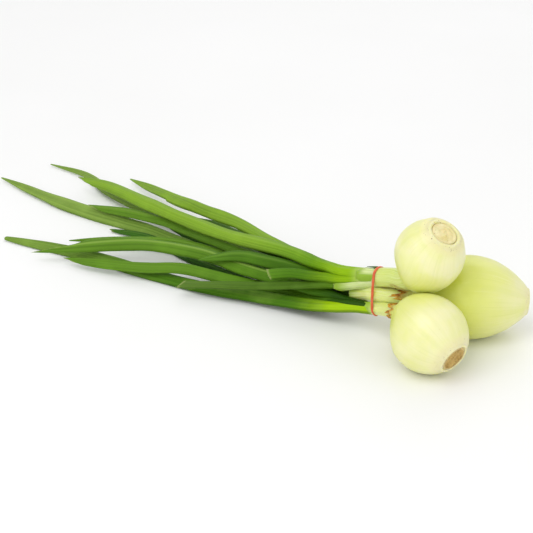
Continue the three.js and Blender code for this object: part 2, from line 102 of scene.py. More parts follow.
# Each leaf, named after its onion: its foot on the neck's end (towards the front, up, and its radius),
# its half width, its end, its radius where it leaves the neck, its tone, the height of the keel along
# it, and the points on its way to the tip. Some have a tear with its depth and slant, a strip torn off
# between two distances, or a tip that grows broader.
LEAVES = {
    "top_lower": dict(
        foot=(2.4, -4.6, 2.4), width=3.1, end="cut", base=3.2, tone="sheathed", keel=-0.1,
        torn=5, slant=-1,
        route=[(-61, -13, 20), (-88, -22, 15), (-115, -32, 12), (-137, -40, 9)],
    ),
    "top_short": dict(
        foot=(5, 0, 2.3), width=3.9, end="cut", base=3.4, tone="fresh", keel=0.05,
        torn=2.7, slant=1,
        route=[(-49, -4, 29), (-65, -8, 27), (-79, -14, 24)],
    ),
    "top_middle": dict(
        foot=(0, 0, 2.1), width=4.6, base=3.4, tone="mid", keel=0.12,
        route=[(-64, 3, 28), (-92, 1, 23), (-116, -3, 19), (-138, -14, 14)],
    ),
    "top_thin": dict(
        foot=(-2.6, -4.4, 1.8), width=1.8, base=2.6, tone="fresh", keel=0.1,
        route=[(-67, -1, 20), (-87, -1, 17), (-103, -2, 15), (-125, 2, 10)],
    ),
    "top_broad": dict(
        foot=(2.6, 4.5, 2.4), width=5.2, end="blunt", base=3.6, tone="bright", keel=0.14,
        torn=12, slant=1,
        route=[(-76, 7, 29), (-118, 12, 25), (-166, 21, 21), (-222, 32, 18), (-278, 48, 14),
               (-311, 52, 10)],
    ),
    "top_back": dict(
        foot=(-5, 0, 2), width=4.4, base=3.2, tone="mid", keel=-0.12,
        route=[(-82, 19, 19), (-115, 29, 14), (-149, 41, 10), (-180, 52, 7), (-205, 58, 4)],
    ),
    "top_high": dict(
        foot=(-2.6, 4.5, 2.3), width=4.8, base=3.4, tone="bright", keel=-0.1,
        strip=(165, 200, 0.3),
        route=[(-80, 14, 26.5), (-139, 34, 26), (-186, 47, 21), (-238, 66, 13), (-287, 87, 4)],
    ),
    "back_dark": dict(
        foot=(1.55, -2.7, 1.4), width=3, base=2.2, tone="dark", keel=0.1,
        route=[(-49, 5, 9), (-79, 0, 4), (-106, -10, 4), (-124, -14, 4)],
    ),
    "back_long": dict(
        foot=(0, 0, 1.4), width=4.8, base=2.4, tone="grey", keel=-0.12,
        broad=0.22,
        route=[(-59, 7, 13), (-114, 13, 6), (-166, 20, 4), (-215, 24, 4), (-292, 22, 4), (-369, 31, 3)],
    ),
    "back_low": dict(
        foot=(-1.55, -2.7, 1.4), width=3.3, end="blunt", base=2.2, tone="dark", keel=0.1,
        torn=8, slant=0.5,
        route=[(-60, 12, 8), (-118, 8, 3), (-166, 10, 3), (-213, 18, 3), (-245, 11, 2)],
    ),
    "back_over": dict(
        foot=(1.55, 2.7, 1.4), width=4.2, end="blunt", base=2.4, tone="keeled", keel=0.16,
        torn=9, slant=1,
        route=[(-67, 7, 19), (-113, 11, 17), (-165, 20, 14), (-204, 28, 13), (-227, 28, 12),
               (-273, 21, 9)],
    ),
    "back_narrow": dict(
        foot=(-1.55, 2.7, 1.4), width=3.3, base=2.2, tone="grey", keel=-0.1,
        broad=0.3,
        route=[(-78, 18, 12), (-127, 31, 7), (-182, 39, 4), (-233, 47, 4), (-286, 60, 3), (-320, 74, 3),
               (-358, 75, 2)],
    ),
    "back_side": dict(
        foot=(-3.1, 0, 1.4), width=3, base=2.2, tone="dark", keel=0.1,
        route=[(-82, 14, 10), (-121, 27, 7), (-152, 34, 5), (-184, 39, 4), (-213, 46, 3)],
    ),
    "front_long": dict(
        foot=(1.3, -1.5, 1.9), width=4.8, end="blunt", base=3.7, tone="low", keel=-0.08,
        route=[(-51, -9, 11.5), (-77, -13, 8), (-123, -23, 5), (-171, -29, 3.5), (-227, -34, 3),
               (-293, -46, 2)],
    ),
    "front_under": dict(
        foot=(1.9, 2, 1.3), width=4.2, end="blunt", base=2.4, tone="keeled", keel=-0.1,
        torn=10, slant=1,
        route=[(-40, 1.5, 16.5), (-79, 1, 14), (-120, -13, 13), (-145, -21, 12), (-173, -34, 9),
               (-233, -52, 5)],
    ),
    "front_keeled": dict(
        foot=(-1.4, 2.3, 1.3), width=5.2, end="blunt", base=2.4, tone="keeled", keel=0.22,
        torn=26, slant=-1,
        route=[(-47, 0, 18), (-96, -2, 17), (-137, -2, 17), (-162, -6, 16), (-194, -17, 15),
               (-255, -60, 9)],
    ),
    "front_inner": dict(
        foot=(-2.4, -0.9, 1.3), width=3.8, base=2.3, tone="keeled", keel=0.1,
        route=[(-51, 6, 14), (-111, 14, 11), (-148, 16, 10), (-180, 11, 10), (-216, -8, 9), (-247, -28, 7)],
    ),
}

# Where the bunch's frame starts in the part's frame, from the resting place of the front bulb.
rests = {mount["name"]: mount["pos_m"] for mount in frame["record"]["mounts"]}
ORIGIN = np.array(rests["rest_front_bulb"]) - np.array([*ONIONS["front"]["centre"][:2], 0]) * MM


def place(points):
    return np.asarray(points) * MM + ORIGIN


def unit(vectors):
    vectors = np.asarray(vectors, float)
    return vectors / np.linalg.norm(vectors, axis=-1, keepdims=True)


def dot(a, b):
    return (a * b).sum(-1)


def rise(value, start, end):
    share = np.clip((value - start) / (end - start), 0, 1)
    return share * share * (3 - 2 * share)


def wave(position, seed, size, height=1):
    """A smooth repeatable waver along a distance, with ripples of about the given size and height."""
    draw = np.random.default_rng(seed).random(6)
    turns = np.asarray(position) / size * 2 * math.pi
    parts = [np.sin(turns * (0.6 + draw[i]) + 2 * math.pi * draw[i + 3]) for i in range(3)]
    return height * (sum(parts) / 3)


# Paths


def curve(knots, steps):
    """Points on the centripetal Catmull-Rom curve through the knots, some steps to each stretch."""
    knots = np.asarray(knots, float)
    padded = np.vstack([2 * knots[0] - knots[1], knots, 2 * knots[-1] - knots[-2]])
    share = (np.arange(steps) / steps)[:, None]
    points = []
    for i in range(len(knots) - 1):
        a, b, c, d = padded[i : i + 4]
        before, here, after = (math.sqrt(np.linalg.norm(q - p)) for p, q in ((a, b), (b, c), (c, d)))
        leave = ((b - a) / before - (c - a) / (before + here) + (c - b) / here) * here
        arrive = ((c - b) / here - (d - b) / (here + after) + (d - c) / after) * here
        bend = -3 * b + 3 * c - 2 * leave - arrive
        twist = 2 * b - 2 * c + leave + arrive
        points.append(b + share * (leave + share * (bend + share * twist)))
    return np.vstack([*points, knots[-1]])


def run_of(points):
    """The distance along a path to each of its points."""
    return np.concatenate([[0], np.cumsum(np.linalg.norm(np.diff(points, axis=0), axis=1))])


def resample(points, distances):
    run = run_of(points)
    return np.stack([np.interp(distances, run, points[:, k]) for k in range(points.shape[1])], axis=1)


def divide(knots, step):
    fine = curve(knots, FINE_STEPS)
    length = run_of(fine)[-1]
    return resample(fine, np.linspace(0, length, int(length / step + 0.5) + 1))


def directions(points, facing, span=1):
    """Along, across and through a path at each of its points."""
    index = np.arange(len(points))
    ahead = points[np.minimum(index + span, len(points) - 1)]
    along = unit(ahead - points[np.maximum(index - span, 0)])
    thin = unit(facing - along * dot(along, facing)[:, None])
    return along, np.cross(thin, along), thin


# Skins


def show(name, data):
    """Makes an object of the data and puts it into the scene."""
    thing = bpy.data.objects.new(name, data)
    bpy.context.scene.collection.objects.link(thing)
    return thing


def make_piece(name, skin, attributes, look, slot, *nodes):
    """Turns points and faces into a piece of the bunch, which may stand for nodes of the frame."""
    points, faces = skin
    mesh = bpy.data.meshes.new(name)
    mesh.from_pydata(place(points).tolist(), [], faces)
    mesh.shade_smooth()
    for key, values in attributes.items():
        values = np.asarray(values, np.float32)
        kind = "FLOAT_VECTOR" if values.ndim == 2 else "FLOAT"
        layer = mesh.attributes.new(key, kind, "POINT")
        layer.data.foreach_set("vector" if values.ndim == 2 else "value", values.ravel())
    mesh.materials.append(look)
    piece = show(name, mesh)
    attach(piece, "root")
    if nodes:
        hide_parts(*nodes)


def join_rings(rings, ends=True):
    """Points and faces of a skin over rings, closed by a point in the middle of its first and last."""
    count, sides = rings.shape[:2]
    faces = []
    for ring in range(count - 1):
        a, b = ring * sides, (ring + 1) * sides
        for side in range(sides):
            after = (side + 1) % sides
            faces.append((a + side, a + after, b + after, b + side))
    points = rings.reshape(-1, 3)
    for ring, order in ((0, -1), (count - 1, 1)) if ends else ():
        pole = len(points)
        points = np.vstack([points, rings[ring].mean(0)])
        fan = [(ring * sides + side, ring * sides + (side + 1) % sides) for side in range(sides)]
        faces += [(*pair[::order], pole) for pair in fan]
    return points, faces


def rings_round(path, wide, thin, across, through):
    """Rings of points round a path, from their distances to it in two directions."""
    return path[:, None] + wide[:, None] * across[..., None] + thin[:, None] * through[..., None]


def ripples(angle, seed, waves):
    """A sum of waves round a ring, each with its height, its count and how far the seed turns it."""
    return sum(height * np.sin(count * angle + turn * seed) for height, count, turn in waves)


def skin_places(angle, along, poles=True):
    """Places on a skin for its grain: round it, and a distance along it for each ring and both poles."""
    around = np.tile(angle, len(along))
    places = np.stack([np.cos(around), np.sin(around), np.repeat(along, len(angle))], axis=1)
    return np.vstack([places, [0, 0, along[0]], [0, 0, along[-1]]]) if poles else places


def join_loop(rings):
    """Points and faces of a skin over rings whose last one meets the first."""
    points, faces = join_rings(np.vstack([rings, rings[:1]]), ends=False)
    count = rings.shape[0] * rings.shape[1]
    return points[:count], [tuple(index % count for index in face) for face in faces]


def angles(sides):
    return np.arange(sides) / sides * 2 * math.pi


# Onions


def bulb_radius(onion, s, neck_radius):
    length, fullness, fall = onion["shoulder"]
    root_side = onion["radius"] * np.maximum(1 - (s / onion["reach"]) ** 2, 0) ** onion["taper"]
    u = np.clip(s / length, 0, 1)
    neck_side = neck_radius + (onion["radius"] - neck_radius) * (1 - u**fullness) ** fall
    return np.where(s < 0, root_side, neck_side)


def plate_distance(onion):
    share = (onion["plate"] + RIM_WIDTH) / onion["radius"]
    return onion["reach"] * math.sqrt(1 - share ** (1 / onion["taper"]))


def spine(onion, step):
    """The path from the root plate to the neck's end, with the distance from the bulb's centre."""
    root = unit(onion["root"])
    reach = plate_distance(onion)
    centre = np.array(onion["centre"])
    points = divide([centre + root * reach, centre, *(knot[:3] for knot in onion["neck"])], step)
    return points, run_of(points) - reach


def neck_end(onion):
    points, _ = spine(onion, NECK_STEP)
    along = unit(points[-1] - points[-1 - NECK_SPAN])
    front = unit(-Y - along * dot(along, -Y))
    up = np.cross(along, front)
    return points[-1], along, front, up * np.sign(up[2])


# Leaves


def leaf_width(leaf, distance, length, foot):
    full = foot + (leaf["width"] - foot) * rise(distance, 0, BASE_GROWTH)
    past = np.maximum(distance / length - TAPER_START, 0) / (1 - TAPER_START)
    width, power = ENDS[leaf.get("end", "point")]
    return full * (1 - (1 - width) * past**power)


def flatness(distance):
    return 1 - (1 - LEAF_THICKNESS) * rise(distance, 0, BASE_GROWTH)


def grower(leaf_name):
    """The name of the onion that a leaf grows on."""
    return leaf_name.split("_")[0]


def start_leaf(leaf_name):
    leaf = LEAVES[leaf_name]
    point, along, front, up = neck_end(ONIONS[grower(leaf_name)])
    foot = point + along * SOCKET_GAP + front * leaf["foot"][0] + up * leaf["foot"][1]
    points = divide([foot, foot + along * STRAIGHT_START, *leaf["route"]], LEAF_STEP)
    distance = np.linalg.norm(points[1] - points[0]) * np.arange(len(points))
    width = leaf_width(leaf, distance, distance[-1], leaf["foot"][2])
    return points, width, width * flatness(distance), LEAF_FACING


def start_neck(onion):
    knots = np.array(onion["neck"], float)
    return knots[:, :3], knots[:, 3], knots[:, 3], Z


def settle(chains, still):
    """Rests the chains on the floor and against each other; the last `still` of them don't move."""
    counts = [len(chain[0]) for chain in chains]
    starts = np.cumsum([0, *counts[:-1]])
    chain_of = np.repeat(np.arange(len(chains)), counts)
    points = np.vstack([chain[0] for chain in chains]).astype(float)
    width = np.concatenate([chain[1] for chain in chains])
    depth = np.concatenate([chain[2] for chain in chains])
    facing = np.repeat([chain[3] for chain in chains], counts, axis=0)
    index = np.arange(len(points))
    back = np.where(np.isin(index, starts), index, index - 1)
    ahead = np.where(np.isin(index + 1, [*starts, len(points)]), index, index + 1)
    first = index[ahead > index]
    free = (chain_of < len(chains) - still) & ~np.isin(index, starts)
    begun = points.copy()

    def reach(at, wide, thin, direction):
        return np.hypot(width[at] * dot(wide[at], direction), depth[at] * dot(thin[at], direction))

    for turn in range(SETTLE_PASSES):
        along = unit(points[ahead] - points[back])
        thin = unit(facing - along * dot(facing, along)[:, None])
        wide = np.cross(thin, along)
        if turn % PASSES_PER_SEARCH == 0:
            apart = np.linalg.norm(points[:, None] - points[None, first], axis=2)
            near_by = (apart < SEARCH_DISTANCE) & (chain_of[:, None] != chain_of[None, first])
            one_all, stretch_all = np.nonzero(near_by)
        one, start = one_all, first[stretch_all]
        offset = points[one] - points[start]
        stretch = points[start + 1] - points[start]
        share = np.clip(dot(offset, stretch) / dot(stretch, stretch), 0, 1)
        offset = offset - stretch * share[:, None]
        distance = np.linalg.norm(offset, axis=1)
        direction = offset / distance[:, None]
        other = np.where(share < 0.5, start, start + 1)
        wanted = CLEARANCE + reach(one, wide, thin, direction) + reach(other, wide, thin, direction)
        hit = wanted > distance
        one, start, share, direction = one[hit], start[hit], share[hit], direction[hit]
        push = direction * ((wanted - distance)[hit] / 2)[:, None]
        move = np.zeros_like(points)
        count = np.zeros(len(points))
        for at, weight, sign in ((one, 1, 1), (start, 1 - share, -1), (start + 1, share, -1)):
            weight = np.broadcast_to(weight, at.shape)
            np.add.at(move, at, sign * push * weight[:, None])
            np.add.at(count, at, weight)
        points[free] += (move / np.maximum(count, 1)[:, None])[free]
        drift = points - begun
        middle = (drift[back] + drift[ahead]) / 2
        eased = begun + drift + (middle - drift) * SETTLE_SMOOTHING
        eased[:, 2] = np.maximum(eased[:, 2], reach(index, wide, thin, Z))
        points[free] = eased[free]
    return [points[begin : begin + count] for begin, count in zip(starts, counts)]


# Node trees


def put(socket, value):
    """Links a socket to another one, or gives it a value or the colour of a code."""
    if isinstance(value, bpy.types.NodeSocket):
        socket.id_data.links.new(value, socket)
    else:
        socket.default_value = rgb(value) if isinstance(value, str) else value


def add(tree, kind, inputs, **settings):
    node = tree.nodes.new(kind)
    for key, value in settings.items():
        setattr(node, key, value)
    for key, value in inputs.items():
        put(node.inputs[key], value)
    return node


def attribute(shader, name, output="Fac"):
    return add(shader.id_data, "ShaderNodeAttribute", {}, attribute_name=name).outputs[output]


def stretched(vector, scale):
    inputs = {0: vector, 1: scale}
    return add(vector.id_data, "ShaderNodeVectorMath", inputs, operation="MULTIPLY").outputs[0]


def noise(vector, scale, detail=3, roughness=0.5):
    inputs = {"Vector": vector, "Scale": scale, "Detail": detail, "Roughness": roughness}
    return add(vector.id_data, "ShaderNodeTexNoise", inputs).outputs["Fac"]


def remap(value, low, high, to_low=0.0, to_high=1.0):
    inputs = {"Value": value, "From Min": low, "From Max": high, "To Min": to_low, "To Max": to_high}
    return add(value.id_data, "ShaderNodeMapRange", inputs).outputs[0]


def maths(operation, a, b):
    return add(a.id_data, "ShaderNodeMath", {0: a, 1: b}, operation=operation, use_clamp=True).outputs[0]


def mix(share, a, b):
    return add(share.id_data, "ShaderNodeMix", {0: share, 6: a, 7: b}, data_type="RGBA").outputs[2]


def tint(colour, value, low, high, most, other):
    """The colour with a share of another one, which grows up to `most` as the value goes up."""
    return mix(remap(value, low, high, 0, most), colour, other)


def bump(height, depth, under=None):
    """Relief of a depth in millimetres, over other relief."""
    inputs = {"Height": height, "Strength": 1.0, "Distance": depth * MM}
    if under is not None:
        inputs["Normal"] = under
    return add(height.id_data, "ShaderNodeBump", inputs).outputs[0]


def rgb(code):
    """The linear colour for a screen colour written as six hexadecimal digits."""
    values = [int(code[i : i + 2], 16) / 255 for i in (0, 2, 4)]
    return [v / 12.92 if v < 0.04045 else ((v + 0.055) / 1.055) ** 2.4 for v in values] + [1.0]


def material(name, build):
    made = bpy.data.materials.new(name)
    made.use_nodes = True
    build(made.node_tree.nodes["Principled BSDF"])
    return made


def connect(shader, colour, mottling, gloss, relief, **sockets):
    """Gives a surface its colour, its roughness between the two of `gloss`, its relief and the rest."""
    sockets |= {"base_color": colour, "roughness": remap(mottling, 0.3, 0.7, *gloss), "normal": relief}
    for key, value in sockets.items():
        put(shader.inputs[key.replace("_", " ").title().replace("Ior", "IOR")], value)


def veins(shader, around, along, *detail):
    """Noise drawn out along the grain of a piece."""
    skin = attribute(shader, "skin", "Vector")
    return noise(stretched(skin, (around, around, along)), 1.0, *detail)


def spots(shader, *scale):
    """Noise without a grain, over places in millimetres."""
    where = add(shader.id_data, "ShaderNodeTexCoord", {}).outputs["Object"]
    return noise(stretched(where, (1000, 1000, 1000)), *scale)


# Materials


def build_bulb(shader):
    clouds = spots(shader, 0.05, 4)
    fine_veins = veins(shader, 24, 0.02)
    broad_veins = veins(shader, 5, 0.01)
    colour = mix(attribute(shader, "rootward"), "d3da4e", "efedb8")
    colour = tint(colour, clouds, 0.42, 0.62, 0.5, "e2e682")
    colour = tint(colour, broad_veins, 0.5, 0.72, 0.17, "cbd654")
    colour = tint(colour, fine_veins, 0.58, 0.74, 0.16, "b6c64a")
    colour = tint(colour, fine_veins, 0.4, 0.28, 0.2, "f6f4cc")
    sheath = mix(remap(fine_veins, 0.4, 0.62), "cfdb66", "e9edaa")
    colour = mix(attribute(shader, "necked"), colour, sheath)
    colour = mix(attribute(shader, "green"), colour, "9cc033")
    rooted = attribute(shader, "rooted")
    colour = mix(maths("MULTIPLY", rooted, 0.55), colour, "ebe0b0")
    specks = spots(shader, 0.9, 2)
    close_by = remap(rooted, 0.5, 1)
    freckles = maths("MULTIPLY", close_by, remap(specks, 0.66, 0.72, 0, 0.7))
    colour = mix(freckles, colour, "7c5a20")
    blotch = remap(spots(shader, 0.35, 4), 0.3, 0.6)
    # Brown stain under the top neck, which also paints the contact shade in the crevice along its
    # underside.
    colour = mix(maths("MULTIPLY", attribute(shader, "stain_and_shade"), blotch), colour, "8f5f14")
    colour = tint(colour, specks, 0.77, 0.8, 0.45, "c2a85a")
    connect(
        shader, colour, clouds, (0.3, 0.4), bump(clouds, 0.3, bump(fine_veins, 0.08)),
        subsurface_weight=0.5, subsurface_scale=0.007, subsurface_radius=(1.0, 0.9, 0.25),
        specular_ior_level=0.5, coat_weight=0.2, coat_roughness=0.3,
    )


# The colours of a leaf near its neck, along its middle and at its tip, and where the last one starts
# and is reached. Besides each leaf's own green the tones paint the light and shade it lies in: 'bright'
# is painted light on leaves that face up, and 'dark', the neck end of the tone of back_over, front_under,
# front_keeled and front_inner, and the middle of 'low' are painted shade deep in the bunch.
TONES = {
    "bright": ("90ba06", "5e9004", "86ac2e", 0.33, 0.48),
    "fresh": ("90b806", "4c7a06", "5c8a18", 0.5, 0.95),
    "mid": ("6a9804", "426e04", "547f1c", 0.5, 0.9),
    "sheathed": ("64900e", "486c10", "5c7c2c", 0.5, 0.95),
    "grey": ("3a6402", "527e0e", "8aa84a", 0.42, 0.8),
    "dark": ("1a3a00", "1c4002", "40701a", 0.5, 0.95),
    "keeled": ("1e4400", "4a7808", "648e22", 0.36, 0.7),
    "low": ("a6cc06", "467606", "80a040", 0.6, 0.95),
}


def leaf_builder(tone):
    near, middle, far = (rgb(code) for code in TONES[tone][:3])
    deep = [*(np.array(middle[:3]) * 0.5), 1]
    lit = [*(np.array(far[:3]) * 1.3), 1]

    def build(shader):
        grown = attribute(shader, "grown")
        fine = veins(shader, 22, 0.012)
        broad = veins(shader, 3.5, 0.006)
        clouds = spots(shader, 0.045, 4)
        # The tone's colours, which are painted light and shade as well as the leaf's green.
        colour = mix(remap(grown, 0.05, 0.36), near, middle)
        colour = mix(remap(grown, *TONES[tone][3:]), colour, far)
        open_blade = remap(grown, 0.0, 0.25, 0.25, 1)
        shaded = maths("MULTIPLY", open_blade, remap(broad, 0.4, 0.68, 0, 0.42))
        colour = mix(shaded, colour, deep)
        colour = tint(colour, clouds, 0.5, 0.72, 0.4, lit)
        lined = maths("MULTIPLY", open_blade, remap(fine, 0.5, 0.72, 0, 0.4))
        colour = mix(lined, colour, deep)
        colour = tint(colour, fine, 0.48, 0.3, 0.3, lit)
        # Painted shade on the underside and along the edges of the blade.
        edge_and_underside_shade = maths("MULTIPLY", attribute(shader, "edge_and_underside_shade"), 0.6)
        colour = mix(edge_and_underside_shade, colour, deep)
        # A painted highlight line along the crest of the ridge.
        colour = mix(attribute(shader, "crest"), colour, "a9c860")
        colour = mix(attribute(shader, "pale"), colour, "d3de92")
        colour = mix(attribute(shader, "torn"), colour, "b9c27a")
        connect(
            shader, colour, clouds, (0.42, 0.56), bump(broad, 0.3, bump(fine, 0.14)),
            subsurface_weight=0.08, subsurface_scale=0.0012, subsurface_radius=(0.5, 1.0, 0.1),
            specular_ior_level=0.12,
        )

    return build


def build_root(shader):
    pits = spots(shader, 0.7, 5, 0.6)
    clouds = remap(spots(shader, 0.16, 4), 0.35, 0.65)
    fresh = attribute(shader, "fresh")
    colour = mix(fresh, mix(clouds, "cfae62", "a07a30"), mix(clouds, "f2e8b4", "e4d492"))
    colour = tint(colour, attribute(shader, "ring"), 0.82, 1.0, 0.8, "e6d9a6")
    pitted = mix(remap(pits, 0.56, 0.68), colour, "6a4a1c")
    freckled = mix(remap(pits, 0.64, 0.72, 0, 0.8), colour, "8a6428")
    colour = mix(fresh, pitted, freckled)
    connect(
        shader, colour, pits, (0.65, 0.9), bump(pits, 0.5),
        subsurface_weight=0.1, subsurface_scale=0.001,
    )


def build_papery(shader):
    fibres = veins(shader, 18, 0.15, 4, 0.6)
    blotches = spots(shader, 0.28, 5, 0.65)
    pale = mix(remap(fibres, 0.4, 0.65), "dfe284", "cfcc5c")
    brown = mix(remap(blotches, 0.4, 0.6), "dca21c", "9c5e0a")
    share = maths("ADD", attribute(shader, "edge"), remap(blotches, 0.5, 0.62, 0, 0.3))
    colour = mix(share, pale, brown)
    connect(
        shader, colour, blotches, (0.55, 0.85), bump(fibres, 0.4),
        subsurface_weight=0.15, subsurface_scale=0.001,
    )


def build_band(shader):
    clouds = spots(shader, 0.3)
    grain = spots(shader, 6.0, 2)
    colour = mix(remap(clouds, 0.35, 0.65), "e0693c", "cf4f28")
    colour = tint(colour, grain, 0.55, 0.75, 0.3, "f0906a")
    connect(
        shader, colour, clouds, (0.42, 0.6), bump(grain, 0.05),
        subsurface_weight=0.1, subsurface_scale=0.0008,
    )


def build_floor(shader):
    put(shader.inputs["Base Color"], mix(spots(shader, 0.004), "fafafa", "f3f3f2"))
    put(shader.inputs["Roughness"], 0.6)


bulb_look = material("bulb_skin", build_bulb)
root_look = material("root_plate", build_root)
papery_look = material("papery_skin", build_papery)
band_look = material("rubber", build_band)


# Bulbs with their necks

BULB_SIDES = 128
BULB_STEP = 1.2
# The x where the skin of each neck ends, round the feet of its leaves.
NECK_VISIBLE = {"top": -8, "front": -8, "back": -20}
# The x where each neck starts and stops to turn green, and how green it gets.
NECK_GREEN = {"top": (-2, -14), "front": (6, -1), "back": (-11, -20)}
GREENED = {"top": 0.85, "front": 1, "back": 0.6}
TOP_NECK_GREEN = 0.2
# The shares of a bulb's shoulder between which its skin turns to neck.
NECKED = (0.72, 1.1)
# The top and front necks sink between their leaves.
SINK_START = 3
SINK_SHARE = 0.35
# Waves round a bulb and along it.
LOBES = ((0.006, 2, 1), (0.004, 3, 2))
RIBS = ((0.012, 9, 1), (0.008, 17, 3))
VEINS = ((0.0014, 23, 1), (0.001, 31, 0))
BULGES = (18, 0.005)
# The swelling round each root plate.
COLLAR = {"top": 1.7, "front": 0.6, "back": 0.4}
COLLAR_PLACE = 1.6
COLLAR_SPAN = 2.6
# The rim round a root plate: how far each line stands out, what the collar adds to that, how far it
# lies beyond the plate, and what the collar adds to that.
RIM = (
    (-0.7, 0, 0.06, 0), (0.1, 0.1, 0.12, 0.02), (0.7, 0.35, 0.45, 0.12),
    (1.0, 0.4, 0.85, 0.3), (0.95, 0.3, 1.3, 0.5), (0.55, 0.2, 1.75, 0.6),
)
RIM_WAVER = 0.12
# The hollow end of the back neck: how far past it each ring lies, and its share of the neck's size.
HOLLOW_END = ((0.4, 0.93), (0.5, 0.8), (0.2, 0.7), (-2.5, 0.62), (-5, 0.5))
# Where the yellow-green of each bulb starts and ends to fade towards the roots, as shares of the way
# to its neck (below 0) and to its roots.
FADE = {"top": (-0.9, 0.15), "front": (-0.9, 0.2), "back": (-0.4, 0.95)}
ROOTED_SPAN = 5
# How much the necks swell between bulb and band, and the x between which they do.
NECK_SWELL = 0.55
SWELL_ENDS = (24, 12)
# The brown stain under the top neck, which also paints the contact shade in the crevice there, and the x
# between which a line of it runs on towards the band along the neck's underside.
STAIN_SHADE_MIDDLE = np.array([23, -5, 38.5])
STAIN_SHADE_SIZE = (9, 8, 3)
STAIN_SHADE_FADE = (0.5, 1.4)
STAIN_SHADE_LINE = ((0, 8), (28, 22))
STAIN_SHADE_BELOW = (0.55, 0.9)
STAIN_SHADE_LINE_SHARE = 0.9


def neck_radius(onion, points):
    knots = np.array(onion["neck"], float)[::-1]
    return np.interp(points[:, 0], knots[:, 0], knots[:, 3])


def make_onion(name, seed):
    onion = ONIONS[name]
    collar_height = COLLAR[name]
    points, s = spine(onion, BULB_STEP)
    _, wide, thin = directions(points, Z, round(NECK_SPAN * NECK_STEP / BULB_STEP))
    radius = bulb_radius(onion, s, neck_radius(onion, points))
    necked = rise(s, *(onion["shoulder"][0] * share for share in NECKED))
    keep = points[:, 0] > NECK_VISIBLE[name]
    points, s, wide, thin, radius, necked = (a[keep] for a in (points, s, wide, thin, radius, necked))
    if name != "back":
        radius = radius * (1 - SINK_SHARE * rise(-points[:, 0], -SINK_START, -NECK_VISIBLE[name]))
    angle = angles(BULB_SIDES)
    cos, sin = np.cos(angle), np.sin(angle)
    ribs = necked[:, None] * ripples(angle, seed, RIBS)[None]
    ripple = 1 + ripples(angle, seed, LOBES)[None] + ripples(angle, seed, VEINS)[None] + ribs
    ripple += wave(s, seed, *BULGES)[:, None]
    collar = collar_height * np.exp(-(((s - s[0] - COLLAR_PLACE) / COLLAR_SPAN) ** 2))
    snug = NECK_SWELL * necked * rise(-points[:, 0], -SWELL_ENDS[0], -SWELL_ENDS[1])
    spread = (radius + collar + snug)[:, None] * ripple
    rings = rings_round(points, wide, thin, spread * cos, spread * sin)
    rim = []
    for out, more_out, reach, more_reach in RIM:
        edge = onion["plate"] + reach + more_reach * collar_height
        edge = edge + reach * RIM_WAVER * wave(angle * 4, seed, 3.0)
        centre = points[0] + unit(onion["root"]) * (out + more_out * collar_height)
        rim.append(centre + wide[0] * (edge * cos)[:, None] + thin[0] * (edge * sin)[:, None])
    tail = []
    if name == "back":
        along = unit(points[-1] - points[-3])
        for past, share in HOLLOW_END:
            tail.append((points[-1] + along * past + (rings[-1] - points[-1]) * share)[None])
    rings = np.vstack([np.array(rim), rings, *tail])
    rings[..., 2] = np.maximum(rings[..., 2], 0)
    vertices, faces = join_rings(rings)
    along = np.r_[np.full(len(rim), s[0]), s, np.full(len(tail), s[-1])]
    skin = skin_places(angle, along)
    at_neck = np.interp(skin[:, 2], s, necked)
    pale_end, green_start = NECK_GREEN[name]
    green = rise(-vertices[:, 0], -pale_end, -green_start) * GREENED[name]
    yellow_end, cream_start = FADE[name][0] * onion["shoulder"][0], FADE[name][1] * onion["reach"]
    attributes = {
        "skin": skin,
        "necked": at_neck,
        "rootward": rise(-skin[:, 2], yellow_end, cream_start),
        "rooted": 1 - rise(skin[:, 2], s[0], s[0] + ROOTED_SPAN),
        "green": np.maximum(green, TOP_NECK_GREEN * at_neck) if name == "top" else green,
        "stain_and_shade": stain_and_shade_under(vertices, skin[:, 1]) * (name == "top"),
    }
    make_piece(f"{name}_onion", (vertices, faces), attributes, bulb_look, "bulb_flesh", f"{name}_bulb")


def stain_and_shade_under(points, sine):
    """The brown stain and painted contact shade under the top neck, strongest where the neck comes out of
    its bulb.
    """
    away = np.linalg.norm((points - STAIN_SHADE_MIDDLE) / STAIN_SHADE_SIZE, axis=1)
    (start, full), (end, fading) = STAIN_SHADE_LINE
    line = rise(points[:, 0], start, full) * rise(-points[:, 0], -end, -fading)
    line = STAIN_SHADE_LINE_SHARE * line * rise(-sine, *STAIN_SHADE_BELOW)
    return np.maximum(1 - rise(away, *STAIN_SHADE_FADE), line)


# Root plates

PLATE_SIDES = 72
PLATE_RINGS = 26
# How freshly each root plate was cut, and the stubs of roots on it.
FRESH = {"top": 1.0, "front": 0.05, "back": 0.8}
STUB_COUNT = 70
STUB_HEIGHT = 0.55
STUB_WIDTH = (0.35, 0.5)
GRIT_HEIGHT = 0.12


